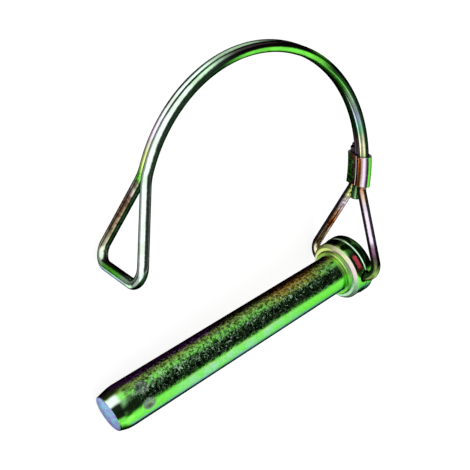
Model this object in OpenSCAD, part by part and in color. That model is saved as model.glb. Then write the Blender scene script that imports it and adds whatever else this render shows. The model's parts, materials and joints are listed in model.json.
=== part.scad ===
// Lynch pin with a spring wire bail, of the kind that locks a drawbar or a pipe joint.
// A headed steel pin carries one bent wire: both legs are threaded through a cross hole in the head,
// the doubled wire arches over, and a three-cornered catch loop at its end springs over the pin's tip.
// The wire's two cut ends overlap beside the head and a crimped sheet sleeve closes them.
// The part lies on its side: +X runs from the tip to the head, +Y is the bail's side, +Z is up.
// The origin is on the pin's axis, on the collar face that bears on the work.

/* [Pin] */
// Diameter of the plain shank
shank_d = 10; // [6:0.5:16]
// Length from the collar face to the tip
shank_len = 68.3; // [45:0.1:110]
// Diameter of the flat on the tip
tip_d = 8.5; // [4:0.1:15]
// Length of the lead-in taper
tip_len = 3; // [1:0.1:6]

/* [Head] */
// Diameter of the round head
head_d = 16; // [11:0.5:26]
// Thickness of the head behind the collar
head_len = 6.8; // [5:0.1:12]
// Bevel round the front edge of the head
head_bevel = 1; // [0.3:0.1:2]
// Rounding of the rear edge of the head
head_round = 1.3; // [0.4:0.1:2.4]
// Length of the fuller band at the rear of the head
band_len = 2.9; // [2.6:0.1:4]
// Height of the small step in front of that band
band_step = 0.2; // [0.1:0.05:0.3]
// Width of the raised collar beyond the shank
collar_rim = 1.1; // [0.4:0.1:2]
// Height of the raised collar
collar_len = 0.7; // [0.3:0.1:1.5]
// Bevel on the collar's outer edge
collar_bevel = 0.25; // [0.1:0.05:0.4]

/* [Stake marks] */
// Distance of the two punched marks from the tip
stake_back = 7.9; // [6:0.1:20]
// Diameter of one mark
stake_d = 2.6; // [1:0.1:4]
// Depth of one mark
stake_deep = 0.35; // [0.1:0.05:0.8]
// Angle of the first mark round the shank
stake_angle = 36; // [0:1:90]
// Angle between the two marks
stake_step = 46; // [30:1:90]

/* [Wire] */
// Diameter of the bail wire
wire_d = 2.3; // [1.5:0.1:3.5]
// Air round the wire in the cross hole
hole_clear = 0.45; // [0.3:0.05:0.8]
// Air between strands that lie side by side
strand_gap = 0.1; // [0.05:0.05:0.4]
// How far each strand leads or lags the other along the pin
strand_lead = 0.4; // [0:0.05:0.8]
// How much the wire's radius thins in a bend
bend_thin = 0.015; // [0.005:0.005:0.03]

/* [Arch] */
// Bend radius of the arch at the wire's centre
arch_r = 32.5; // [22:0.5:50]
// Distance of the arch centre from the hinge, along the pin towards the tip
arch_back = 21.9; // [12:0.1:36]
// Distance of the arch centre from the hinge, across the pin
arch_rise = 30.7; // [22:0.1:45]
// Angle where the legs leave the arch
arch_start = -19; // [-30:0.5:-5]
// Angle where the catch loop leaves the arch
arch_end = 147.5; // [130:0.5:160]
// Short straight at the crown, between the two bends of the arch
crown_flat = 0.4; // [0.3:0.1:2]

/* [Catch loop] */
// Length of the loop from the arch to its bar
loop_len = 22.2; // [15:0.1:32]
// Room between the shank and the loop's corner bends, each side
loop_room = 2.4; // [1.5:0.1:5]
// Bend radius of the loop's two corners
loop_bend = 3; // [2:0.1:4]
// Bend radius where the two strands part
apex_bend = 8; // [4:0.5:12]

/* [Legs] */
// Room between the head and the corner of each leg
leg_room = 4.4; // [3.6:0.1:8]
// Bend radius at the cross hole
leg_bend = 3; // [2:0.1:4]
// Bend radius where the legs part below the sleeve
foot_bend = 2.2; // [1.8:0.1:5]

/* [Sleeve] */
// Length of the crimped sleeve
sleeve_len = 8; // [5:0.1:14]
// Thickness of the sleeve's sheet
sleeve_t = 0.7; // [0.4:0.05:1.2]
// Air between the wires and the sheet
sleeve_clear = 0.03; // [0.02:0.01:0.1]
// Width of the open seam
seam_gap = 0.8; // [0.2:0.05:1.2]
// Angle by which the leg's cut end lies outward of the two strands
end_turn = 25; // [20:1:40]
// Length of the cut end that stands above the sleeve
top_stub = 1.3; // [0.5:0.1:4]
// Length of the cut end that stands below the sleeve
low_stub = 4; // [1:0.1:6]

/* [Hidden] */
$fn = 64;

shank_r = shank_d / 2;
head_r = head_d / 2;
front_r = head_r - band_step;
band_x = collar_len + head_len - band_len;
collar_r = shank_r + collar_rim;
wire_r = wire_d / 2;
hole_r = wire_r + hole_clear;
hinge_x = collar_len + head_len / 2;

// A punched mark is a shallow ball-nosed dent, set by its width and depth.
stake_ball = (stake_d * stake_d / 4 + stake_deep * stake_deep) / (2 * stake_deep);

// Sideways place of each strand, and the corners of the legs and of the catch loop.
strand_z = wire_r + strand_gap / 2;
leg_half = head_r + leg_room;
loop_half = shank_r + wire_d + loop_room;

// Length by which a bend runs on into the straight next to it.
bend_lap = 0.05;

// Straight runs that leave room for the bends next to the sleeve and at the catch loop.
foot_run = foot_bend * tan(20) + 3 * bend_lap;
apex_run = apex_bend * tan(14);

// Bend table of the wire: arch centre lines, measured from the hinge.
arch_mid = [-arch_back, arch_rise];
near_mid = arch_mid - [strand_lead, 0];
far_mid = arch_mid + [strand_lead, 0];
quarter = (arch_end - arch_start) / 4;
corner_r = arch_r / cos(quarter);
arch_bend = arch_r - crown_flat / (2 * tan(quarter));
down_dir = [sin(arch_start), -cos(arch_start), 0];
loop_dir = [-sin(arch_end), cos(arch_end), 0];

// The three wires in the sleeve as [outward, sideways]: the two strands and, on from them in a bent
// row, the cut end of the lower leg.
near_cell = [-strand_lead * cos(arch_start), strand_z];
far_cell = -near_cell;
end_cell = far_cell + (wire_d + strand_gap) * [sin(end_turn), -cos(end_turn)];
end_r = arch_r + end_cell[0];
sleeve_angle = sleeve_len / arch_r * 180 / PI;
end_top = arch_start + sleeve_angle + top_stub / end_r * 180 / PI;
end_half = (end_top - arch_start) / 2;

function unit(v) = v / norm(v);
function on_arc(mid, angle, r, z) = [mid[0] + r * cos(angle), mid[1] + r * sin(angle), z];

wire_points = [
    on_arc(arch_mid, end_top, end_r, end_cell[1]),
    on_arc(arch_mid, arch_start + end_half, end_r / cos(end_half), end_cell[1]),
    on_arc(arch_mid, arch_start, end_r, end_cell[1]) + foot_run * down_dir,
    [0, 0, -leg_half],
    [0, 0, leg_half],
    on_arc(near_mid, arch_start, arch_r, strand_z) + foot_run * down_dir,
    on_arc(near_mid, arch_start + quarter, corner_r, strand_z),
    on_arc(near_mid, arch_end - quarter, corner_r, strand_z),
    on_arc(near_mid, arch_end, arch_r, strand_z) + apex_run * loop_dir,
    on_arc(near_mid, arch_end, arch_r, loop_half) + loop_len * loop_dir,
    on_arc(far_mid, arch_end, arch_r, -loop_half) + loop_len * loop_dir,
    on_arc(far_mid, arch_end, arch_r, -strand_z) + apex_run * loop_dir,
    on_arc(far_mid, arch_end - quarter, corner_r, -strand_z),
    on_arc(far_mid, arch_start + quarter, corner_r, -strand_z),
    on_arc(far_mid, arch_start, arch_r, -strand_z) + low_stub * down_dir
];
wire_bends = [
    0, end_r, foot_bend, leg_bend, leg_bend, foot_bend, arch_bend, arch_bend,
    apex_bend, loop_bend, loop_bend, apex_bend, arch_bend, arch_bend, 0
];
// Places in the bend table of the two bends that touch the ground.
low_leg = 3;
low_loop = 10;

// One bend of a path: unit vectors in and out, angle, length taken from each leg, plane and centre.
function dir_in(p, i) = unit(p[i] - p[i - 1]);
function dir_out(p, i) = unit(p[i + 1] - p[i]);
function bend_angle(p, i) = acos(dir_in(p, i) * dir_out(p, i));
function bend_cut(p, r, i) = r[i] == 0 ? 0 : r[i] * tan(bend_angle(p, i) / 2);
function bend_axis(p, i) = unit(cross(dir_in(p, i), dir_out(p, i)));
function bend_from(p, r, i) = p[i] - bend_cut(p, r, i) * dir_in(p, i);
function bend_to(p, r, i) = p[i] + bend_cut(p, r, i) * dir_out(p, i);
function bend_mid(p, r, i) =
    bend_from(p, r, i) + r[i] * cross(bend_axis(p, i), dir_in(p, i));

// How the part lies: the ground touches the lower leg bend, the loop's lower corner and the tip.
function lowest(mid, axis, r, up) = mid - r * unit(up - (up * axis) * axis);
function wire_low(i, up) =
    lowest(bend_mid(wire_points, wire_bends, i), bend_axis(wire_points, i), wire_bends[i], up)
    - wire_r * up + [hinge_x, 0, 0];
function tip_low(up) = lowest([tip_len - shank_len, 0, 0], [1, 0, 0], shank_r, up);
function ground_up(up) =
    unit(cross(wire_low(low_loop, up) - wire_low(low_leg, up), tip_low(up) - wire_low(low_leg, up)));
function settle(up, turns) = turns == 0 ? up : settle(ground_up(up), turns - 1);
up_dir = settle([0, 0, 1], 8);
lie_roll = atan2(up_dir[1], up_dir[2]);
lie_pitch = -atan2(up_dir[0], norm([up_dir[1], up_dir[2]]));

module lying() {
    rotate([lie_roll, lie_pitch, 0])
        children();
}

// Straight run of wire between two points.
module wire_run(from, to) {
    way = to - from;
    translate(from)
        rotate([0, acos(way[2] / norm(way)), atan2(way[1], way[0])])
            cylinder(h = norm(way), r = wire_r);
}

// One bend of the wire, a part of a ring set on its own plane and run on a little at both ends.
module wire_bend(p, r, i) {
    mid = bend_mid(p, r, i);
    x_dir = unit(bend_from(p, r, i) - mid);
    y_dir = dir_in(p, i);
    z_dir = bend_axis(p, i);
    lap_angle = bend_lap / r[i] * 180 / PI;
    multmatrix([
        [x_dir[0], y_dir[0], z_dir[0], mid[0]],
        [x_dir[1], y_dir[1], z_dir[1], mid[1]],
        [x_dir[2], y_dir[2], z_dir[2], mid[2]],
        [0, 0, 0, 1]
    ])
        rotate([0, 0, -lap_angle])
            rotate_extrude(angle = bend_angle(p, i) + 2 * lap_angle)
                translate([r[i], 0])
                    circle(r = wire_r - bend_thin);
}

// Wire that follows a bend table of points and bend radii.
module bent_wire(p, r) {
    last = len(p) - 1;
    for (i = [1 : last]) {
        from = i == 1 ? p[0] : bend_to(p, r, i - 1);
        to = i == last ? p[last] : bend_from(p, r, i);
        if (norm(to - from) > bend_lap) wire_run(from, to);
        if (i < last) wire_bend(p, r, i);
    }
}

// Half outline of the pin: tip, taper, shank, collar, bevelled front, rear band and rounded back.
module pin_outline() {
    head_top = collar_len + head_len;
    union() {
        polygon([
            [0, -shank_len],
            [tip_d / 2, -shank_len],
            [shank_r, tip_len - shank_len],
            [shank_r, 0],
            [collar_r - collar_bevel, 0],
            [collar_r, collar_bevel],
            [collar_r, collar_len],
            [head_r - head_bevel, collar_len],
            [front_r, collar_len + head_bevel - band_step],
            [front_r, band_x - band_step],
            [head_r, band_x],
            [head_r, head_top - head_round],
            [head_r - head_round, head_top - head_round],
            [head_r - head_round, head_top],
            [0, head_top]
        ]);
        translate([head_r - head_round, head_top - head_round])
            intersection() {
                circle(r = head_round);
                square(head_round);
            }
    }
}

module stake_mark(angle) {
    rotate([angle, 0, 0])
        translate([stake_back - shank_len, shank_r - stake_deep + stake_ball, 0])
            sphere(r = stake_ball);
}

module pin() {
    color("DarkKhaki")
        lying()
            difference() {
                rotate([0, 90, 0])
                    rotate_extrude()
                        pin_outline();
                translate([hinge_x, 0, -head_d])
                    cylinder(h = 2 * head_d, r = hole_r);
                stake_mark(stake_angle);
                stake_mark(stake_angle + stake_step);
            }
}

module bail_wire() {
    color("Khaki")
        lying()
            translate([hinge_x, 0, 0])
                bent_wire(wire_points, wire_bends);
}

// The three wires in turn, and the outward direction of the side that runs from one to the next.
cells = [near_cell, far_cell, end_cell];
function side_out(a, b) = unit([b[1] - a[1], a[0] - b[0]]);

// Outline at one distance round the three wires: a bend at each wire and a flat along each side.
module round_cells(r) {
    flat_r = r - bend_thin;
    for (c = cells) translate(c) circle(r = r);
    polygon([
        for (i = [0 : 2], end = [0, 1])
            cells[(i + end) % 3] + flat_r * side_out(cells[i], cells[(i + 1) % 3])
    ]);
}

// Sheet wrapped round the wires, open along a seam on its inner face beside the near strand.
module sleeve_section() {
    seam_dir = side_out(near_cell, far_cell);
    seam_side = unit(far_cell - near_cell);
    seam_reach = wire_d + sleeve_t;
    difference() {
        round_cells(wire_r + sleeve_clear + sleeve_t);
        round_cells(wire_r + sleeve_clear);
        polygon([
            near_cell,
            near_cell + seam_gap * seam_side,
            near_cell + seam_gap * seam_side + seam_reach * seam_dir,
            near_cell + seam_reach * seam_dir
        ]);
    }
}

module crimp_sleeve() {
    color("Goldenrod")
        lying()
            translate([hinge_x + arch_mid[0], arch_mid[1], 0])
                rotate([0, 0, arch_start])
                    rotate_extrude(angle = sleeve_angle)
                        translate([arch_r, 0])
                            sleeve_section();
}

pin();
bail_wire();
crimp_sleeve();
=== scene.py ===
import json
import math

import bmesh
import bpy
from mathutils import Matrix, Vector


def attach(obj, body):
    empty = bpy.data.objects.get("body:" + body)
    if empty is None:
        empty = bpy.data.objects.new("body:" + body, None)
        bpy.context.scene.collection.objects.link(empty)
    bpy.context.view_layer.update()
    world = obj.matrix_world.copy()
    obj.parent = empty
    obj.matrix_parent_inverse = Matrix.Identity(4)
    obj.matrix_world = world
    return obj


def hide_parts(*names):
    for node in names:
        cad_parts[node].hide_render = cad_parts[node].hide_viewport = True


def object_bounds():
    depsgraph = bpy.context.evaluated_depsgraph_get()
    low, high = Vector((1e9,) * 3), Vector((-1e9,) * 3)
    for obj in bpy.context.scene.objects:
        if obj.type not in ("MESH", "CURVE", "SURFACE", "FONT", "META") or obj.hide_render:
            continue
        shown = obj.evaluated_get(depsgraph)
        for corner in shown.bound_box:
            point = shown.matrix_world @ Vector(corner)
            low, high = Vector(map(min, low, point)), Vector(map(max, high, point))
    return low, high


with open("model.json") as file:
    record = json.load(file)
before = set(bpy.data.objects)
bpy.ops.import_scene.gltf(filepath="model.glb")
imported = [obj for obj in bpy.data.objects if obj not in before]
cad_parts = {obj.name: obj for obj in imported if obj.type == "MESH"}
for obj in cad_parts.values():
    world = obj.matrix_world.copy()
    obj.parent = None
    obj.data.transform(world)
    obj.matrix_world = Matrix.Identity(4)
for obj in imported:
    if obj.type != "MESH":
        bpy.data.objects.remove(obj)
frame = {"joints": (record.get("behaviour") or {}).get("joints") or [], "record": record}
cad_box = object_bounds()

# Lynch pin with a wire bail, lying on its side: a turned pin, one bent wire and a crimped sleeve.
# Sizes are in millimetres in the pin's own frame: X from tip to head, Y to the bail, Z along the hinge.
MM = 0.001

# The pin's frame inside the row frame, from the shank mount and the hinge
HINGE = frame["joints"][0]
SHANK = next(m for m in frame["record"]["mounts"] if m["name"] == "shank")
AXIS_X = -Vector(SHANK["axis"]).normalized()
AXIS_Z = Vector(HINGE["axis"]).normalized()
AXIS_Y = AXIS_Z.cross(AXIS_X)
TO_ROW = Matrix((AXIS_X, AXIS_Y, AXIS_Z)).transposed()
HINGE_X = Vector(HINGE["pos_m"]).length / MM

# Pin
SHANK_R = SHANK["dims"]["r_mm"]
TIP_LEN = 3.0
SHANK_LEN = SHANK["dims"]["length_mm"] + TIP_LEN
TIP_R = 4.25
TIP_SHEAR = 0.34
TIP_SHEAR_FROM = 2.0
TIP_DOME = 0.35
HEAD_R = 8.0
HEAD_LEN = 6.8
HEAD_BEVEL = 1.0
HEAD_STEP = 0.2
HEAD_STEP_X = 4.6
COLLAR_R = 6.1
COLLAR_LEN = 0.7
COLLAR_BEVEL = 0.25
HOLE_R = 1.6
HOLE_RIM = 0.35

# Radii of the pin's rounded edges and corners, from the tip to the head's back
TIP_ROUND = 0.3
TAPER_ROUND = 9.0
SHANK_ROOT = 0.12
COLLAR_ROUND = 0.08
COLLAR_ROOT = 0.1
FRONT_ROUND = 0.25
STEP_ROOT = 0.05
STEP_ROUND = 0.1
HEAD_ROUND = 1.3

# Fineness of the pin's mesh, and the sharpest edge in degrees that is shaded smooth
CORNER_STEPS = 5
PROFILE_STEP = 0.45
PIN_SIDES = 144
PIN_SMOOTH = 38.0
# How close a radius comes to nought to count as on the axis, and to the shank's to count as the shank
ON_AXIS = 1e-6
SHANK_NEAR = 0.01

# Drill for the cross hole: how far it stands out of the head, and how much it widens there
DRILL_SIDES = 64
DRILL_PAST = 2.0
DRILL_FLARE = 2.2

# Across the pin, from the side that faces the bail to the side that faces away
ACROSS = Vector((0.0, -0.83, 0.56)).normalized()

# Two punched marks near the tip
STAKE_BACK = 7.9
STAKE_R = 1.3
STAKE_DEEP = 0.35
STAKE_ANGLES = (36.0, 82.0)

# Wire
WIRE_R = 1.15
STRAND_GAP = 0.1
STRAND_SIDE = WIRE_R + STRAND_GAP / 2
STRAND_LEAD = 0.4
ARCH_R = 32.5
ARCH_BACK = 21.9
ARCH_RISE = 30.7
ARCH_START = math.radians(-19.0)
ARCH_END = math.radians(147.5)
CROWN_FLAT = 0.4
LOOP_LEN = 22.2
LOOP_HALF = 9.7
LOOP_BEND = 3.0
APEX_BEND = 8.0
LEG_HALF = 12.4
LEG_BEND = 3.0
FOOT_BEND = 2.2
LOW_STUB = 4.0
TOP_STUB = 1.3
END_TURN = math.radians(25.0)

# Straight runs that leave room for the bends next to the sleeve and at the catch loop
FOOT_HALF_TURN = math.radians(20.0)
FOOT_SPARE = 0.15
FOOT_RUN = FOOT_BEND * math.tan(FOOT_HALF_TURN) + FOOT_SPARE
APEX_HALF_TURN = math.radians(14.0)
APEX_RUN = APEX_BEND * math.tan(APEX_HALF_TURN)

# Fineness of the wire's mesh: sides, step along it, fewest steps and largest turn in degrees in a bend
WIRE_SIDES = 28
WIRE_STEP = 0.6
BEND_STEPS = 4
BEND_TURN = 5.0
# Sharpest edge in degrees that is shaded smooth, and the bevel of the cut ends
WIRE_SMOOTH = 50.0
WIRE_END_BEVEL = 0.12

# Sleeve
SLEEVE_LEN = 8.0
SLEEVE_T = 0.7
SLEEVE_CLEAR = 0.03
SEAM_GAP = 0.8
# Steps along it, largest turn round it, sharpest edge in degrees that is shaded smooth, and its edge bevel
SLEEVE_STEPS = 24
SLEEVE_TURN = math.radians(6.0)
SLEEVE_SMOOTH = 35.0
SLEEVE_BEVEL = 0.15
SLEEVE_BEVEL_FROM = math.radians(50.0)

# Camera in the row frame, with lengths in millimetres
CAMERA_PLACE = (-116.66, 84.80, 113.75)
CAMERA_FORWARD = (0.56775, -0.38575, -0.72730)
CAMERA_UP = (0.42519, 0.89391, -0.14222)
LENS = 53.54
SENSOR = 36.0
CLIP_START = 5.0

# Floor, in metres, with its grey and the light that it gives off
FLOOR_HALF = 3.0
FLOOR_GREY = (0.25, 0.25, 0.25, 1.0)
FLOOR_GLOW = 0.84

# Soft light cards of the studio: azimuth, elevation, angle of full light, angle of no light, strength
CARDS = [
    (125.0, 20.0, 32.0, 56.0, 1.3),
    (-65.0, 29.0, 24.0, 42.0, 1.0),
    (-102.0, 41.0, 8.0, 24.0, 0.65),
    (-150.0, 5.0, 18.0, 50.0, 0.5),
    (-162.0, 48.0, 16.0, 36.0, 0.95),
    (60.0, 2.0, 10.0, 36.0, 0.8),
    (-135.0, -55.0, 10.0, 26.0, 1.8),
    (134.0, -48.0, 8.0, 30.0, 0.35),
    (-8.0, -12.0, 22.0, 42.0, 0.5),
]
ROOM_DARK = 0.035
ROOM_PALE = 0.9


# Small helpers


def to_row(point):
    """A point of the pin's frame in millimetres, as a point of the row frame in metres."""
    return TO_ROW @ (Vector(point) * MM)


def circle(count):
    """Angles of evenly spaced points round a circle."""
    return [2 * math.pi * k / count for k in range(count)]


def direction(azimuth, elevation):
    """Unit vector of the row frame towards an azimuth and elevation in degrees."""
    a = math.radians(azimuth)
    e = math.radians(elevation)
    return Vector((math.cos(e) * math.cos(a), math.cos(e) * math.sin(a), math.sin(e)))


def link_object(name, data):
    """New object in the scene."""
    obj = bpy.data.objects.new(name, data)
    bpy.context.scene.collection.objects.link(obj)
    return obj


def new_piece(name, mesh, body, node):
    """New piece that rides on a body and stands for a node."""
    obj = link_object(name, mesh)
    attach(obj, body)
    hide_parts(node)
    return obj


def join_rings(bm, rings):
    """Faces between each ring of points and the next; a ring of one point closes an end."""
    for a, b in zip(rings, rings[1:]):
        count = max(len(a), len(b))
        for k in range(count):
            n = (k + 1) % count
            if len(a) == 1:
                bm.faces.new((a[0], b[k], b[n]))
            elif len(b) == 1:
                bm.faces.new((a[k], b[0], a[n]))
            else:
                bm.faces.new((a[k], b[k], b[n], a[n]))


def quads(a, b):
    """Corners of the faces between two rings with the same number of points."""
    count = len(a)
    return [(a[k], a[(k + 1) % count], b[(k + 1) % count], b[k]) for k in range(count)]


def to_mesh(bm, name):
    """Mesh with all its faces turned outwards; the bmesh is used up."""
    bmesh.ops.recalc_face_normals(bm, faces=bm.faces)
    mesh = bpy.data.meshes.new(name)
    bm.to_mesh(mesh)
    bm.free()
    return mesh


def dress(mesh, smooth, material):
    """Gives a mesh its one material and shades it smooth, apart from edges sharper than the angle."""
    mesh.shade_smooth()
    mesh.set_sharp_from_angle(angle=math.radians(smooth))
    mesh.materials.clear()
    mesh.materials.append(material)


# Pin


def rounded(corners):
    """Polyline through (x, r, radius) corners, each corner rounded by its radius."""
    line = []
    for i, (x, r, radius) in enumerate(corners):
        here = Vector((x, r))
        if radius == 0:
            line.append(here)
            continue
        back = (Vector(corners[i - 1][:2]) - here).normalized()
        ahead = (Vector(corners[i + 1][:2]) - here).normalized()
        half = math.acos(max(-1.0, min(1.0, back.dot(ahead)))) / 2
        trim = radius / math.tan(half)
        centre = here + (back + ahead).normalized() * radius / math.sin(half)
        start = here + back * trim - centre
        end = here + ahead * trim - centre
        sweep = start.angle_signed(end)
        for k in range(CORNER_STEPS + 1):
            line.append(centre + Matrix.Rotation(-sweep * k / CORNER_STEPS, 2) @ start)
    return line


def divided(line, longest):
    """The polyline with every stretch cut into steps no longer than the given length."""
    points = [line[0]]
    for a, b in zip(line, line[1:]):
        steps = max(1, math.ceil((b - a).length / longest))
        points += [a.lerp(b, k / steps) for k in range(1, steps + 1)]
    return points


def pin_profile():
    """Half outline of the pin as (x, r), from the tip's centre to the centre of the head's back."""
    head_back = COLLAR_LEN + HEAD_LEN
    step_r = HEAD_R - HEAD_STEP
    corners = [
        (-SHANK_LEN, 0.0, 0.0),
        (-SHANK_LEN, TIP_R, TIP_ROUND),
        (TIP_LEN - SHANK_LEN, SHANK_R, TAPER_ROUND),
        (0.0, SHANK_R, SHANK_ROOT),
        (0.0, COLLAR_R - COLLAR_BEVEL, COLLAR_ROUND),
        (COLLAR_BEVEL, COLLAR_R, COLLAR_ROUND),
        (COLLAR_LEN, COLLAR_R, COLLAR_ROOT),
        (COLLAR_LEN, HEAD_R - HEAD_BEVEL, FRONT_ROUND),
        (COLLAR_LEN + HEAD_BEVEL - HEAD_STEP, step_r, FRONT_ROUND),
        (HEAD_STEP_X - HEAD_STEP, step_r, STEP_ROOT),
        (HEAD_STEP_X, HEAD_R, STEP_ROUND),
        (head_back, HEAD_R, HEAD_ROUND),
        (head_back, 0.0, 0.0),
    ]
    return divided(rounded(corners), PROFILE_STEP)


def sheared(point):
    """Moves a point near the tip: the end is a little domed and was not cut quite square."""
    near_end = min(1.0, max(0.0, (TIP_SHEAR_FROM - SHANK_LEN - point.x) / TIP_SHEAR_FROM))
    off = Vector((0.0, point.y, point.z))
    slant = TIP_SHEAR * off.dot(ACROSS) / TIP_R + TIP_SHEAR / 2
    dome = TIP_DOME * max(0.0, 1 - (off.length / TIP_R) ** 2)
    return point + Vector((near_end * (slant - dome), 0, 0))


def dented(point):
    """Moves a point of the shank in to the floor of a punched mark."""
    ball = (STAKE_R ** 2 + STAKE_DEEP ** 2) / (2 * STAKE_DEEP)
    for angle in STAKE_ANGLES:
        a = math.radians(angle)
        out = Vector((0.0, math.cos(a), math.sin(a)))
        centre = Vector((STAKE_BACK - SHANK_LEN, 0, 0)) + out * (SHANK_R - STAKE_DEEP + ball)
        depth = ball - (point - centre).length
        if depth > 0 and point.dot(out) > 0:
            point = point - out * depth
    return point


def pin_mesh():
    """The turned pin before its cross hole is drilled."""
    bm = bmesh.new()
    rings = []
    for x, r in pin_profile():
        if r < ON_AXIS:
            points = [Vector((x, 0, 0))]
        else:
            points = [Vector((x, r * math.cos(a), r * math.sin(a))) for a in circle(PIN_SIDES)]
        if abs(r - SHANK_R) < SHANK_NEAR:
            points = [dented(p) for p in points]
        rings.append([bm.verts.new(to_row(sheared(p))) for p in points])
    join_rings(bm, rings)
    return to_mesh(bm, "pin_turned")


def hole_cutter():
    """Drill along the hinge that opens a little at both rims, as a deburred hole does."""
    reach = HEAD_R + DRILL_PAST
    flare = HOLE_R + HOLE_RIM + DRILL_FLARE
    profile = [
        (0.0, -reach),
        (flare, -reach),
        (HOLE_R, HOLE_RIM - HEAD_R),
        (HOLE_R, HEAD_R - HOLE_RIM),
        (flare, reach),
        (0.0, reach),
    ]
    bm = bmesh.new()
    rings = []
    for r, z in profile:
        angles = circle(DRILL_SIDES) if r else [0.0]
        points = [(HINGE_X + r * math.cos(a), r * math.sin(a), z) for a in angles]
        rings.append([bm.verts.new(to_row(p)) for p in points])
    join_rings(bm, rings)
    return to_mesh(bm, "drill")


def cut(mesh, cutter_mesh):
    """The first mesh less the second; both are used up."""
    body = link_object("to_cut", mesh)
    cutter = link_object("cutter", cutter_mesh)
    boolean = body.modifiers.new("drill", "BOOLEAN")
    boolean.object = cutter
    boolean.operation = "DIFFERENCE"
    boolean.solver = "EXACT"
    depsgraph = bpy.context.evaluated_depsgraph_get()
    result = bpy.data.meshes.new_from_object(body.evaluated_get(depsgraph))
    for obj in (body, cutter):
        bpy.data.objects.remove(obj)
    for used in (mesh, cutter_mesh):
        bpy.data.meshes.remove(used)
    return result


def make_pin(material):
    mesh = cut(pin_mesh(), hole_cutter())
    mesh.name = "pin_turned"
    dress(mesh, PIN_SMOOTH, material)
    new_piece("pin_turned", mesh, "pin_body", "pin")


# Wire


def on_arc(mid, angle, radius, z):
    """Point on a circle round the arch's middle."""
    return Vector((mid[0] + radius * math.cos(angle), mid[1] + radius * math.sin(angle), z))


def sleeve_cells():
    """Centres of the wires in the sleeve as (outward, sideways): two strands and the leg's cut end."""
    near = Vector((-STRAND_LEAD * math.cos(ARCH_START), STRAND_SIDE))
    far = -near
    pitch = 2 * WIRE_R + STRAND_GAP
    return near, far, far + pitch * Vector((math.sin(END_TURN), -math.cos(END_TURN)))


def wire_table():
    """Corner points and bend radii of the wire, measured from the hinge."""
    side = STRAND_SIDE
    mid = Vector((-ARCH_BACK, ARCH_RISE))
    near_mid = mid - Vector((STRAND_LEAD, 0))
    far_mid = mid + Vector((STRAND_LEAD, 0))
    quarter = (ARCH_END - ARCH_START) / 4
    corner_r = ARCH_R / math.cos(quarter)
    arch_bend = ARCH_R - CROWN_FLAT / (2 * math.tan(quarter))
    down = Vector((math.sin(ARCH_START), -math.cos(ARCH_START), 0))
    out = Vector((-math.sin(ARCH_END), math.cos(ARCH_END), 0))
    end = sleeve_cells()[2]
    end_r = ARCH_R + end.x
    end_top = ARCH_START + SLEEVE_LEN / ARCH_R + TOP_STUB / end_r
    end_half = (end_top - ARCH_START) / 2
    return [
        (on_arc(mid, end_top, end_r, end.y), 0),
        (on_arc(mid, ARCH_START + end_half, end_r / math.cos(end_half), end.y), end_r),
        (on_arc(mid, ARCH_START, end_r, end.y) + FOOT_RUN * down, FOOT_BEND),
        (Vector((0, 0, -LEG_HALF)), LEG_BEND),
        (Vector((0, 0, LEG_HALF)), LEG_BEND),
        (on_arc(near_mid, ARCH_START, ARCH_R, side) + FOOT_RUN * down, FOOT_BEND),
        (on_arc(near_mid, ARCH_START + quarter, corner_r, side), arch_bend),
        (on_arc(near_mid, ARCH_END - quarter, corner_r, side), arch_bend),
        (on_arc(near_mid, ARCH_END, ARCH_R, side) + APEX_RUN * out, APEX_BEND),
        (on_arc(near_mid, ARCH_END, ARCH_R, LOOP_HALF) + LOOP_LEN * out, LOOP_BEND),
        (on_arc(far_mid, ARCH_END, ARCH_R, -LOOP_HALF) + LOOP_LEN * out, LOOP_BEND),
        (on_arc(far_mid, ARCH_END, ARCH_R, -side) + APEX_RUN * out, APEX_BEND),
        (on_arc(far_mid, ARCH_END - quarter, corner_r, -side), arch_bend),
        (on_arc(far_mid, ARCH_START + quarter, corner_r, -side), arch_bend),
        (on_arc(far_mid, ARCH_START, ARCH_R, -side) + LOW_STUB * down, 0),
    ]


def straight(a, b):
    """Points of a straight run after its first end, up to and with its second end."""
    run = b - a
    steps = max(1, math.ceil(run.length / WIRE_STEP))
    return [a + run * (k / steps) for k in range(1, steps + 1)]


def centre_line(table):
    """Points along the wire's centre, close together in bends and a step apart on straight runs."""
    points = [table[0][0]]
    for i in range(1, len(table) - 1):
        here, radius = table[i]
        before = (here - table[i - 1][0]).normalized()
        after = (table[i + 1][0] - here).normalized()
        angle = before.angle(after)
        axis = before.cross(after).normalized()
        trim = radius * math.tan(angle / 2)
        start = here - before * trim
        centre = start + axis.cross(before) * radius
        points += straight(points[-1], start)[:-1]
        by_length = math.ceil(radius * angle / WIRE_STEP)
        by_turn = math.ceil(math.degrees(angle) / BEND_TURN)
        steps = max(BEND_STEPS, by_length, by_turn)
        for k in range(steps + 1):
            turn = Matrix.Rotation(angle * k / steps, 3, axis)
            points.append(centre + turn @ (start - centre))
    return points + straight(points[-1], table[-1][0])


def shares(line):
    """Share of the line's length that lies behind each of its points."""
    travelled = [0.0]
    for a, b in zip(line, line[1:]):
        travelled.append(travelled[-1] + (b - a).length)
    return [length / travelled[-1] for length in travelled]


def wire_rings(bm, line):
    """Rings of points round the line, turned as little as possible from one to the next."""
    rings = []
    side = (line[1] - line[0]).normalized().orthogonal().normalized()
    for i, p in enumerate(line):
        tangent = (line[min(i + 1, len(line) - 1)] - line[max(i - 1, 0)]).normalized()
        side = (side - side.dot(tangent) * tangent).normalized()
        other = tangent.cross(side)
        outs = [side * math.cos(a) + other * math.sin(a) for a in circle(WIRE_SIDES)]
        rings.append([bm.verts.new(to_row(p + out * WIRE_R)) for out in outs])
    return rings


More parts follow.
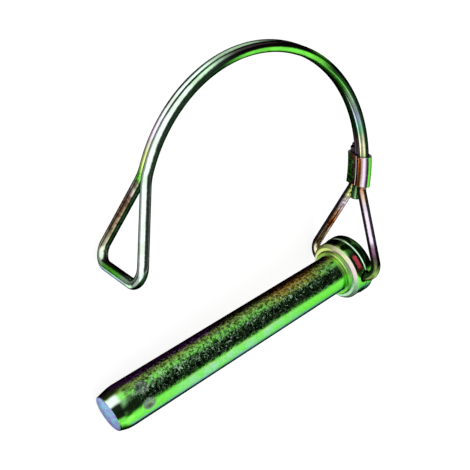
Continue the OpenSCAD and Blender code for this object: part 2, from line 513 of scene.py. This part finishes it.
def wire_end(bm, layer, ring, share):
    """Flat cut end of the wire with a small bevel."""
    face = bm.faces.new(ring)
    for loop in face.loops:
        loop[layer] = share
    edges = list(face.edges)
    bmesh.ops.bevel(bm, geom=edges, offset=WIRE_END_BEVEL * MM, segments=2, affect="EDGES", profile=0.5)


def wire_mesh():
    """The bent wire. Its attribute "along" runs from 0 at the leg's cut end to 1 at the other."""
    line = [p + Vector((HINGE_X, 0, 0)) for p in centre_line(wire_table())]
    along = shares(line)
    bm = bmesh.new()
    layer = bm.loops.layers.float.new("along")
    rings = wire_rings(bm, line)
    for i, (a, b) in enumerate(zip(rings, rings[1:])):
        corner_shares = (along[i], along[i], along[i + 1], along[i + 1])
        for corners in quads(a, b):
            face = bm.faces.new(corners)
            for loop, share in zip(face.loops, corner_shares):
                loop[layer] = share
    wire_end(bm, layer, list(reversed(rings[0])), 0.0)
    wire_end(bm, layer, rings[-1], 1.0)
    return to_mesh(bm, "bail_wire_bent")


def make_wire(material):
    mesh = wire_mesh()
    dress(mesh, WIRE_SMOOTH, material)
    new_piece("bail_wire_bent", mesh, "bail", "bail_wire")


# Sleeve


def band_line(radius, corners):
    """Outline round the corners at one distance: a bend at each corner and a flat to the next."""
    points = []
    for centre, start, end in corners:
        steps = math.ceil(abs(end - start) / SLEEVE_TURN)
        for k in range(steps + 1):
            a = start + (end - start) * k / max(steps, 1)
            points.append(centre + radius * Vector((math.cos(a), math.sin(a))))
    return points


def side_angle(a, b):
    """Angle of the outward direction on the side that runs from one wire to the next."""
    return math.atan2(a.x - b.x, b.y - a.y)


def sleeve_section():
    """Closed outline of the sheet: once round the three wires, open at a seam on the inner face."""
    near, far, end = sleeve_cells()
    to_far = (far - near).normalized()
    inner_side = side_angle(near, far)
    end_side = side_angle(far, end)
    outer_side = side_angle(end, near)
    # From the seam's far lip past the far strand, the leg's end and the near strand to the near lip
    corners = [
        (near + SEAM_GAP * to_far, inner_side, inner_side),
        (far, inner_side, end_side),
        (end, end_side, outer_side),
        (near, outer_side, inner_side + 2 * math.pi),
    ]
    outer = band_line(WIRE_R + SLEEVE_CLEAR + SLEEVE_T, corners)
    inner = band_line(WIRE_R + SLEEVE_CLEAR, corners)
    return outer + list(reversed(inner))


def sleeve_mesh():
    """The section carried along the start of the arch."""
    section = sleeve_section()
    count = len(section)
    mid = Vector((HINGE_X - ARCH_BACK, ARCH_RISE))
    bm = bmesh.new()
    rings = []
    for k in range(SLEEVE_STEPS + 1):
        a = ARCH_START + SLEEVE_LEN / ARCH_R * k / SLEEVE_STEPS
        rings.append([bm.verts.new(to_row(on_arc(mid, a, ARCH_R + p.x, p.y))) for p in section])
    for a, b in zip(rings, rings[1:]):
        for corners in quads(a, b):
            bm.faces.new(corners)
    # The outline goes out on the outer face and back on the inner one, so an end is a strip of quads.
    for ring in (rings[0], rings[-1]):
        for k in range(count // 2 - 1):
            bm.faces.new((ring[k], ring[k + 1], ring[count - 2 - k], ring[count - 1 - k]))
    return to_mesh(bm, "crimp_sleeve_sheet")


def make_sleeve(material):
    mesh = sleeve_mesh()
    dress(mesh, SLEEVE_SMOOTH, material)
    obj = new_piece("crimp_sleeve_sheet", mesh, "bail", "crimp_sleeve")
    bevel = obj.modifiers.new("edge", "BEVEL")
    bevel.width = SLEEVE_BEVEL * MM
    bevel.segments = 2
    bevel.limit_method = "ANGLE"
    bevel.angle_limit = SLEEVE_BEVEL_FROM


# Materials

# Tints of the yellow zinc plating; the darkest and palest of them also serve as painted shade and painted
# highlight
ZINC = (0.66, 0.70, 0.50)
PURPLE = (0.22, 0.11, 0.20)
UMBER = (0.28, 0.24, 0.12)
OLIVE = (0.29, 0.50, 0.10)
# Darkest green-black, used as painted shade on the taper and the far strand
DARKEST_SHADE = (0.008, 0.016, 0.008)
DEEP = (0.014, 0.045, 0.016)
FERN = (0.18, 0.42, 0.16)
LEAF = (0.22, 0.78, 0.11)
VIVID = (0.20, 0.90, 0.09)
SEAFOAM = (0.42, 0.78, 0.60)
MINT = (0.55, 0.88, 0.58)
AQUA = (0.28, 0.70, 0.45)
NAVY = (0.10, 0.13, 0.30)
ICE = (0.44, 0.84, 1.0)
MIST = (0.46, 0.58, 0.72)
LAVENDER = (0.52, 0.62, 1.0)
VIOLET = (0.58, 0.46, 1.0)
PLUM = (0.56, 0.16, 0.66)
PEWTER = (0.30, 0.38, 0.31)
# Near-black used as painted shade: dark outlines, gaps and shaded sides
SHADE_BLACK = (0.07, 0.05, 0.06)
CHESTNUT = (0.46, 0.14, 0.03)
COPPER = (0.45, 0.28, 0.18)
SAND = (0.82, 0.78, 0.52)
ROSE = (0.88, 0.72, 0.73)
CREAM = (0.88, 0.86, 0.58)
LEMON = (0.72, 0.86, 0.26)
LILAC = (0.80, 0.70, 0.88)
PINK = (0.88, 0.70, 0.74)
TAN = (0.62, 0.45, 0.30)
CRIMSON = (1.0, 0.14, 0.18)
PALE = (0.75, 0.92, 0.82)

# Tints that darken what they are multiplied with, and the one that leaves it as it is
PIT = (0.06, 0.06, 0.06)
BLOT = (0.30, 0.24, 0.18)
STAIN = (0.55, 0.48, 0.38)
CLEAR = (1.0, 1.0, 1.0)

# How little the plating mirrors at a grazing angle
EDGE_TINT = (0.07, 0.08, 0.08, 1.0)

# Direction in the pin's frame of the sides that the photo does not show,
# with how far a surface faces it where the plain tint begins and is full, and that tint's share
UNSEEN = (0.50, -0.47, -0.73)
UNSEEN_EDGE = (0.15, 0.45)
UNSEEN_PLAIN = 0.85
# Other directions in that frame: to the tip, across the bail, to the pin and to sides of the loop
TIPWARD = (-1.0, 0.0, 0.0)
BESIDE = (0.77, -0.16, 0.62)
TO_PIN = (0.1, -0.9, 0.4)
LOOP_OUTSIDE = (-0.7, 0.23, -0.67)
BAR_INSIDE = (0.69, 0.73, 0.0)
BAR_BELOW = (-0.54, -0.84, 0.0)


class Tree:
    """Short forms for building a material's node tree."""

    def __init__(self, name):
        self.material = bpy.data.materials.new(name)
        self.material.use_nodes = True
        self.nodes = self.material.node_tree.nodes
        self.links = self.material.node_tree.links
        self.shader = self.nodes["Principled BSDF"]

    def add(self, kind, **settings):
        made = self.nodes.new(kind)
        for key, value in settings.items():
            setattr(made, key, value)
        return made

    def feed(self, socket, item):
        """Sets a socket to a number or a colour, or links it to another node's output."""
        if isinstance(item, (int, float)):
            socket.default_value = item
        elif isinstance(item, tuple):
            socket.default_value = (*item, 1.0)
        else:
            self.links.new(item, socket)

    def value(self, kind, *items):
        made = self.add("ShaderNodeMath", operation=kind)
        for socket, item in zip(made.inputs, items):
            self.feed(socket, item)
        return made.outputs[0]

    def fold(self, kind, items):
        """One value from several, taken two at a time."""
        result = items[0]
        for item in items[1:]:
            result = self.value(kind, result, item)
        return result

    def product(self, *items):
        return self.fold("MULTIPLY", items)

    def total(self, *items):
        return self.fold("ADD", items)

    def highest(self, *items):
        return self.fold("MAXIMUM", items)

    def scaled(self, value, factor, offset):
        return self.value("MULTIPLY_ADD", value, factor, offset)

    def eased(self, value, low, high, at_low, at_high):
        made = self.add("ShaderNodeMapRange", interpolation_type="SMOOTHSTEP")
        self.feed(made.inputs["Value"], value)
        made.inputs["From Min"].default_value = low
        made.inputs["From Max"].default_value = high
        made.inputs["To Min"].default_value = at_low
        made.inputs["To Max"].default_value = at_high
        return made.outputs["Result"]

    def rises(self, value, low, high):
        """0 below low, 1 above high and smooth between."""
        return self.eased(value, low, high, 0.0, 1.0)

    def falls(self, value, low, high):
        """1 below low, 0 above high and smooth between."""
        return self.eased(value, low, high, 1.0, 0.0)

    def strip(self, value, begins, full, still_full, gone):
        """1 on one stretch of the value, 0 beyond it and smooth at both ends."""
        return self.product(self.rises(value, begins, full), self.falls(value, still_full, gone))

    def noise(self, vector, scale, detail, rough, distortion=0.0):
        made = self.add("ShaderNodeTexNoise")
        self.feed(made.inputs["Vector"], vector)
        made.inputs["Scale"].default_value = scale
        made.inputs["Detail"].default_value = detail
        made.inputs["Roughness"].default_value = rough
        made.inputs["Distortion"].default_value = distortion
        return made.outputs["Fac"]

    def ramp(self, factor, stops):
        made = self.add("ShaderNodeValToRGB")
        made.color_ramp.interpolation = "EASE"
        elements = made.color_ramp.elements
        while len(elements) < len(stops):
            elements.new(0.5)
        for element, (place, colour) in zip(elements, stops):
            element.position = place
            element.color = (*colour, 1.0)
        self.feed(made.inputs["Fac"], factor)
        return made.outputs["Color"]

    def mix(self, factor, a, b, kind="MIX"):
        made = self.add("ShaderNodeMix", data_type="RGBA", blend_type=kind)
        for socket, item in ((made.inputs[0], factor), (made.inputs[6], a), (made.inputs[7], b)):
            self.feed(socket, item)
        return made.outputs[2]

    def vector(self, kind, a, b=None):
        """Vector node of two inputs, the second one constant if there is one."""
        made = self.add("ShaderNodeVectorMath", operation=kind)
        self.feed(made.inputs[0], a)
        if b is not None:
            made.inputs[1].default_value = b
        return made.outputs

    def place(self):
        """Place in the pin's own frame, in metres."""
        turn = self.add("ShaderNodeMapping", vector_type="TEXTURE")
        turn.inputs["Rotation"].default_value = TO_ROW.to_euler()
        self.feed(turn.inputs["Vector"], self.add("ShaderNodeTexCoord").outputs["Object"])
        return turn.outputs["Vector"]

    def facing(self, way):
        """How far the surface faces one direction of the pin's frame, from -1 to 1."""
        normal = self.add("ShaderNodeTexCoord").outputs["Normal"]
        return self.vector("DOT_PRODUCT", normal, TO_ROW @ Vector(way).normalized())["Value"]

    def finish(self, colour, roughness, height, depth):
        """Joins colour, roughness and surface relief to a metal shader; the unseen sides are plain."""
        plain = self.product(self.rises(self.facing(UNSEEN), *UNSEEN_EDGE), UNSEEN_PLAIN)
        self.feed(self.shader.inputs["Base Color"], self.mix(plain, colour, ZINC))
        self.feed(self.shader.inputs["Roughness"], roughness)
        self.shader.inputs["Metallic"].default_value = 1.0
        self.shader.inputs["Specular Tint"].default_value = EDGE_TINT
        bump = self.add("ShaderNodeBump")
        bump.inputs["Strength"].default_value = 1.0
        bump.inputs["Distance"].default_value = depth * MM
        self.feed(bump.inputs["Height"], height)
        self.feed(self.shader.inputs["Normal"], bump.outputs["Normal"])
        return self.material


# Plating of the pin

# Tints by how far round the pin they lie: 0 on the bail's side, 1 on the side that faces away. They are
# partly painted reflection: dark purple and navy edges, a darker fern band and a bright vivid band.
SHANK_TINTS_AND_REFLECTION = [
    (0.0, PURPLE),
    (0.06, UMBER),
    (0.16, OLIVE),
    (0.28, LEAF),
    (0.40, FERN),
    (0.58, FERN),
    (0.70, VIVID),
    (0.86, VIVID),
    (0.93, AQUA),
    (1.0, NAVY),
]
# Tints of the taper: the pale stretch is a painted highlight, the near-black stretch painted shade
TAPER_TINTS_AND_LIGHT = [
    (0.04, PURPLE),
    (0.14, OLIVE),
    (0.22, PALE),
    (0.33, PALE),
    (0.42, DARKEST_SHADE),
    (0.66, DARKEST_SHADE),
    (0.74, VIVID),
]
BLOOM_TINTS = [(0.70, SAND), (0.76, SEAFOAM), (0.88, SEAFOAM), (0.95, ICE)]
COLLAR_TINTS = [(0.0, OLIVE), (0.25, LEMON), (0.6, OLIVE), (0.8, LEAF)]
FRONT_TINTS = [
    (0.0, LEMON),
    (0.15, SAND),
    (0.35, SAND),
    (0.5, ROSE),
    (0.68, ROSE),
    (0.85, MINT),
]
END_TINTS = [(0.40, VIOLET), (0.5, LAVENDER), (0.58, ICE)]

# Where tints lie along the pin, in millimetres: begins, full, still full, gone
BLOOM_ALONG = (-58.0, -44.0, -28.0, -14.0)
BROWN_ALONG = (-27.0, -18.0, -10.0, -4.0)
SPECKLE_ALONG = (-67.0, -58.0, -4.0, 0.0)
PATCH_ALONG = (2.2, 2.5, 3.5, 3.9)
STEP_ALONG = (4.25, 4.4, 4.7, 4.85)
# The same for tints with one edge: begins to change, done
END_ALONG = (-66.0, -60.0)
TAPER_ALONG = (-66.4, -65.2)
PLUM_ALONG = (-42.0, -34.0)
FRONT_ALONG = (0.6, 0.72)
FACES_ALONG = (2.6, 3.4)
HEAD_SIDE_ALONG = (1.7, 2.3)
# Where tints lie across the pin, as shares from the bail's side: four numbers for two edges, two for one
PATCH_ACROSS = (0.36, 0.42, 0.58, 0.66)
FLECKS_ACROSS = (0.14, 0.3, 0.48, 0.68)
BLOOM_ACROSS = (0.66, 0.74)
PLUM_ACROSS = (0.05, 0.13)
BROWN_ACROSS = (0.28, 0.40)
HEAD_SIDE_ACROSS = (0.6, 0.76)
STEP_ACROSS = (0.6, 0.7)
SPECKLE_ACROSS = (0.6, 0.72)
# A mark's tint fades out over its rim, in shares of its radius
MARK_RIM = (0.95, 1.35)


def across_pin(t, place, y, z):
    """How far round the pin a point lies, from 0 on the bail's side to 1, with a slow drift."""
    radial = t.add("ShaderNodeCombineXYZ")
    t.feed(radial.inputs["Y"], y)
    t.feed(radial.inputs["Z"], z)
    unit = t.vector("NORMALIZE", radial.outputs[0])["Vector"]
    turned = t.vector("DOT_PRODUCT", unit, ACROSS)["Value"]
    drift = t.noise(place, scale=160.0, detail=2.0, rough=0.5)
    return t.total(t.scaled(turned, 0.5, 0.5), t.scaled(drift, 0.14, -0.07))


def shank_colour(t, place, x, across):
    """Tints of the shank, partly painted reflection: a paler bloom on the lower side, a plum tint
    brightened as a painted highlight, a brown stain, and the taper's painted highlight and shade.
    """
    colour = t.ramp(across, SHANK_TINTS_AND_REFLECTION)
    cloud = t.rises(t.noise(place, scale=320.0, detail=4.0, rough=0.65), 0.28, 0.66)
    bloom = t.product(cloud, t.strip(x, *BLOOM_ALONG), t.rises(across, *BLOOM_ACROSS), 0.65)
    colour = t.mix(bloom, colour, t.ramp(across, BLOOM_TINTS))
    # Plum tint on the bail's side near the tip, brightened as a painted highlight
    plum = t.product(t.falls(x, *PLUM_ALONG), t.falls(across, *PLUM_ACROSS))
    colour = t.mix(plum, colour, PLUM)
    brown = t.product(t.strip(x, *BROWN_ALONG), t.falls(across, *BROWN_ACROSS), 0.6)
    colour = t.mix(brown, colour, CHESTNUT)
    return t.mix(t.falls(x, *TAPER_ALONG), colour, t.ramp(across, TAPER_TINTS_AND_LIGHT))


def face_colour(t, place, x, across):
    """Tints of the faces turned to the tip: the collar, the head's front and the sawn end."""
    front = t.mix(t.rises(x, *FRONT_ALONG), t.ramp(across, COLLAR_TINTS), t.ramp(across, FRONT_TINTS))
    saw = t.noise(place, scale=900.0, detail=3.0, rough=0.6)
    return t.mix(t.falls(x, *END_ALONG), front, t.ramp(saw, END_TINTS))


def head_shade_and_highlight(t, x, across, colour):
    """Painted shade on the head's dark side and a painted highlight along its step."""
    side = t.product(t.rises(x, *HEAD_SIDE_ALONG), t.falls(across, *HEAD_SIDE_ACROSS), 0.88)
    colour = t.mix(side, colour, DEEP)
    line = t.product(t.strip(x, *STEP_ALONG), t.falls(across, *STEP_ACROSS), 0.8)
    return t.mix(line, colour, MINT)


def punched_marks(t, place):
    """1 in the two punched marks, else 0."""
    marks = []
    for angle in STAKE_ANGLES:
        a = math.radians(angle)
        centre = Vector((STAKE_BACK - SHANK_LEN, SHANK_R * math.cos(a), SHANK_R * math.sin(a)))
        off = t.vector("DISTANCE", place, centre * MM)["Value"]
        marks.append(t.falls(off, *(rim * STAKE_R * MM for rim in MARK_RIM)))
    return t.highest(*marks)


def pin_plating():
    """Mottled plating whose tint, partly painted reflection, turns round the shank, with satin end faces
    and a red mark, painted shade and a painted highlight on the head.
    """
    t = Tree("plated_pin")
    place = t.place()
    split = t.add("ShaderNodeSeparateXYZ")
    t.feed(split.inputs[0], place)
    metres, y, z = split.outputs
    x = t.value("DIVIDE", metres, MM)
    skin = t.noise(place, scale=1400.0, detail=3.0, rough=0.6, distortion=0.3)
    grain = t.noise(place, scale=1200.0, detail=3.0, rough=0.6, distortion=1.2)
    across = across_pin(t, place, y, z)
    faces = t.product(t.rises(t.facing(TIPWARD), 0.45, 0.75), t.falls(x, *FACES_ALONG))
    colour = t.mix(faces, shank_colour(t, place, x, across), face_colour(t, place, x, across))
    colour = head_shade_and_highlight(t, x, across, colour)
    patch = t.product(t.strip(x, *PATCH_ALONG), t.strip(across, *PATCH_ACROSS))
    colour = t.mix(patch, colour, CRIMSON)
    marks = punched_marks(t, place)
    colour = t.mix(t.product(marks, 0.85), colour, PEWTER)
    # Dark pits and pale flecks roughen the side that faces the bail.
    speckle = t.product(t.strip(x, *SPECKLE_ALONG), t.falls(across, *SPECKLE_ACROSS))
    pits = t.ramp(skin, [(0.42, PIT), (0.58, CLEAR)])
    colour = t.mix(t.scaled(speckle, 0.75, 0.12), colour, pits, "MULTIPLY")
    flecks = t.product(t.rises(grain, 0.56, 0.65), speckle, t.strip(across, *FLECKS_ACROSS))
    colour = t.mix(flecks, colour, MINT)
    satin = [t.product(faces, 0.3), t.product(marks, 0.3), t.product(flecks, 0.4), t.product(patch, 0.5)]
    roughness = t.total(t.scaled(skin, 0.1, 0.08), *satin)
    relief = t.highest(t.scaled(speckle, 0.9, 0.08), t.product(marks, 0.9))
    height = t.product(t.rises(skin, 0.42, 0.68), relief)
    return t.finish(colour, roughness, height, depth=0.03)


# Plating of the wire

# Tints by share of the wire's length: the far leg, the hinge and the near leg, then the rest. Their pale
# stops are painted highlights and their near-black stops painted shade.
LEG_TINTS_AND_LIGHT = [
    (0.0, SHADE_BLACK),
    (0.03, LEMON),
    (0.038, LEMON),
    (0.046, LILAC),
    (0.056, COPPER),
    (0.066, CHESTNUT),
    (0.076, TAN),
    (0.088, COPPER),
    (0.10, CREAM),
    (0.155, LEMON),
    (0.163, OLIVE),
    (0.170, SHADE_BLACK),
    (0.178, PURPLE),
    (0.19, LILAC),
    (0.212, LILAC),
    (0.222, TAN),
    (0.232, CHESTNUT),
]
BAIL_TINTS_AND_LIGHT = [
    (0.25, OLIVE),
    (0.264, SAND),
    (0.277, AQUA),
    (0.29, MIST),
    (0.308, MINT),
    (0.322, LEAF),
    (0.334, AQUA),
    (0.348, VIVID),
    (0.365, SHADE_BLACK),
    (0.42, SHADE_BLACK),
    (0.45, MINT),
    (0.475, PALE),
    (0.58, PALE),
    (0.595, MINT),
    (0.607, VIVID),
    (0.622, LEAF),
    (0.632, PALE),
    (0.645, CREAM),
    (0.658, TAN),
    (0.678, COPPER),
    (0.685, PINK),
    (0.693, VIVID),
    (0.703, LEMON),
    (0.72, LILAC),
    (0.745, PALE),
    (0.80, MINT),
    (0.835, DARKEST_SHADE),
    (0.94, DARKEST_SHADE),
    (0.96, SHADE_BLACK),
    (0.972, PURPLE),
    (0.985, DEEP),
    (0.998, FERN),
]
# The side turned to the pin: a vivid painted reflection under the crown of the arch, deep green painted
# shade further on
UNDERSIDE_SHADE_AND_REFLECTION = [(0.41, VIVID), (0.44, DEEP)]

# Stretches of the wire as shares of its length: begins, full, still full, gone
RISING = (0.25, 0.255, 0.335, 0.36)
LOOP = (0.48, 0.53, 0.7, 0.73)
LOOP_BAR = (0.59, 0.6, 0.63, 0.645)
REAR_STRAND = (0.645, 0.655, 0.69, 0.70)
# The same for stretches with one edge: begins to change, done
REAR_LEG_TO = (0.09, 0.1)
LEGS_TO = (0.24, 0.25)
BAIL_FROM = (0.244, 0.252)
SHADE_FROM = (0.30, 0.34)


def side_shade(t, along, colour):
    """Painted shade on the wire's sides, with a painted reflection under the arch's crown: towards the
    pin, outside above the sleeve, and both sides of the legs.
    """
    under = t.product(t.rises(t.facing(TO_PIN), 0.15, 0.4), t.rises(along, *SHADE_FROM))
    colour = t.mix(under, colour, t.ramp(along, UNDERSIDE_SHADE_AND_REFLECTION))
    beside = t.facing(BESIDE)
    # Painted shade on the outer side of the strand that rises from the sleeve
    outer = t.product(t.strip(along, *RISING), t.rises(beside, 0.0, 0.35))
    colour = t.mix(outer, colour, DEEP)
    # Painted shade as dark outlines along both sides of the legs
    legs = t.falls(along, *LEGS_TO)
    for side in (t.rises(beside, 0.5, 0.75), t.falls(beside, -0.72, -0.5)):
        colour = t.mix(t.product(legs, side), colour, SHADE_BLACK)
    return colour


def loop_shade_and_reflection(t, along, colour):
    """Painted shade on the inner side of the loop's bar and a bluish painted reflection below it; brown
    painted shade on the loop's outer side.
    """
    bar = t.strip(along, *LOOP_BAR)
    colour = t.mix(t.product(t.rises(t.facing(BAR_INSIDE), 0.4, 0.7), bar), colour, SHADE_BLACK)
    colour = t.mix(t.product(t.rises(t.facing(BAR_BELOW), 0.15, 0.5), bar), colour, LAVENDER)
    outside = t.product(t.rises(t.facing(LOOP_OUTSIDE), 0.72, 0.92), t.strip(along, *LOOP))
    return t.mix(outside, colour, UMBER)


def wire_plating():
    """Drawn wire whose tint drifts from one stretch to the next; the tints carry painted highlights and
    painted shade.
    """
    t = Tree("plated_wire")
    place = t.place()
    along = t.add("ShaderNodeAttribute", attribute_name="along").outputs["Fac"]
    drift = t.noise(place, scale=260.0, detail=2.0, rough=0.5)
    skin = t.noise(place, scale=1700.0, detail=3.0, rough=0.55)
    blotch = t.noise(place, scale=900.0, detail=3.0, rough=0.6)
    reach = t.total(along, t.scaled(drift, 0.012, -0.006))
    colour = t.mix(t.rises(along, *BAIL_FROM), t.ramp(reach, LEG_TINTS_AND_LIGHT), t.ramp(reach, BAIL_TINTS_AND_LIGHT))
    colour = side_shade(t, along, colour)
    colour = loop_shade_and_reflection(t, along, colour)
    # The leg and the strand that lie to the rear are blotched.
    rear = t.highest(t.strip(along, *REAR_STRAND), t.falls(along, *REAR_LEG_TO))
    blots = t.ramp(blotch, [(0.42, BLOT), (0.56, CLEAR)])
    colour = t.mix(t.product(rear, 0.8), colour, blots, "MULTIPLY")
    stain = t.ramp(drift, [(0.38, STAIN), (0.56, CLEAR)])
    colour = t.mix(0.4, colour, stain, "MULTIPLY")
    return t.finish(colour, t.scaled(skin, 0.12, 0.06), skin, depth=0.03)


# Plating of the sleeve

# Tints by direction across the bail, partly painted light: dark rear lobe as painted shade, brown flat,
# pale crown as painted highlight, a dark line as painted shade, and green side
SLEEVE_TINTS_AND_LIGHT = [
    (0.0, LEAF),
    (0.03, SHADE_BLACK),
    (0.06, CHESTNUT),
    (0.20, CHESTNUT),
    (0.28, PINK),
    (0.46, LILAC),
    (0.58, PURPLE),
    (0.68, SHADE_BLACK),
    (0.76, VIVID),
]


def sleeve_plating():
    """Sheet whose tint, with painted highlight and shade, changes with the way it faces."""
    t = Tree("plated_sleeve")
    place = t.place()
    drift = t.noise(place, scale=700.0, detail=2.0, rough=0.5)
    skin = t.noise(place, scale=1700.0, detail=3.0, rough=0.55)
    side = t.total(t.scaled(t.facing(BESIDE), 0.5, 0.5), t.scaled(drift, 0.08, -0.04))
    return t.finish(t.ramp(side, SLEEVE_TINTS_AND_LIGHT), t.scaled(skin, 0.18, 0.16), skin, depth=0.04)


# Stage, light and camera


def make_floor():
    """Pale floor that gives off a little light. The metal mirrors the light cards instead of it."""
    half = FLOOR_HALF
    low = cad_box[0][2]
    mesh = bpy.data.meshes.new("floor")
    corners = [(-half, -half, low), (half, -half, low), (half, half, low), (-half, half, low)]
    mesh.from_pydata(corners, [], [(0, 1, 2, 3)])
    floor = link_object("floor", mesh)
    floor.visible_glossy = False
    t = Tree("floor_paint")
    t.shader.inputs["Base Color"].default_value = FLOOR_GREY
    t.shader.inputs["Emission Color"].default_value = (1, 1, 1, 1)
    t.shader.inputs["Emission Strength"].default_value = FLOOR_GLOW
    t.shader.inputs["Roughness"].default_value = 1.0
    t.shader.inputs["Specular IOR Level"].default_value = 0.0
    mesh.materials.append(t.material)


def make_world():
    """Pale room for the eye and the floor; in the metal a dark room with the soft light cards."""
    world = bpy.data.worlds.new("studio")
    bpy.context.scene.world = world
    world.use_nodes = True
    nodes = world.node_tree.nodes
    links = world.node_tree.links
    way = nodes.new("ShaderNodeTexCoord").outputs["Generated"]
    total = None
    for azimuth, elevation, full, none, strength in CARDS:
        dot = nodes.new("ShaderNodeVectorMath")
        dot.operation = "DOT_PRODUCT"
        links.new(way, dot.inputs[0])
        dot.inputs[1].default_value = direction(azimuth, elevation)
        soft = nodes.new("ShaderNodeMapRange")
        soft.interpolation_type = "SMOOTHSTEP"
        links.new(dot.outputs["Value"], soft.inputs["Value"])
        soft.inputs["From Min"].default_value = math.cos(math.radians(none))
        soft.inputs["From Max"].default_value = math.cos(math.radians(full))
        soft.inputs["To Max"].default_value = strength
        add = nodes.new("ShaderNodeMath")
        links.new(soft.outputs["Result"], add.inputs[0])
        add.inputs[1].default_value = ROOM_DARK
        if total is not None:
            links.new(total, add.inputs[1])
        total = add.outputs[0]
    choose = nodes.new("ShaderNodeMix")
    choose.inputs[2].default_value = ROOM_PALE
    links.new(nodes.new("ShaderNodeLightPath").outputs["Is Glossy Ray"], choose.inputs[0])
    links.new(total, choose.inputs[3])
    links.new(choose.outputs[0], nodes["Background"].inputs["Strength"])
    nodes["Background"].inputs["Color"].default_value = (1, 1, 1, 1)
    world.cycles.sampling_method = "NONE"


def make_light(name, azimuth, elevation, distance, size, power):
    """Soft panel that lights the floor and casts a faint shadow."""
    way = direction(azimuth, elevation)
    data = bpy.data.lights.new(name, "AREA")
    data.size = size
    data.energy = power
    light = link_object(name, data)
    light.visible_glossy = False
    light.location = way * distance
    light.rotation_euler = way.to_track_quat("Z", "Y").to_euler()


def make_camera():
    data = bpy.data.cameras.new("camera")
    data.lens = LENS
    data.sensor_width = SENSOR
    data.clip_start = CLIP_START * MM
    camera = link_object("camera", data)
    forward = Vector(CAMERA_FORWARD).normalized()
    right = forward.cross(Vector(CAMERA_UP)).normalized()
    up = right.cross(forward)
    turn = Matrix((right, up, -forward)).transposed().to_4x4()
    camera.matrix_world = Matrix.Translation(Vector(CAMERA_PLACE) * MM) @ turn
    bpy.context.scene.camera = camera


make_camera()
make_pin(pin_plating())
make_wire(wire_plating())
make_sleeve(sleeve_plating())
make_floor()
make_light("top_panel", azimuth=-66.0, elevation=75.0, distance=0.6, size=0.6, power=0.4)
make_world()
bpy.context.scene.view_settings.view_transform = "Standard"
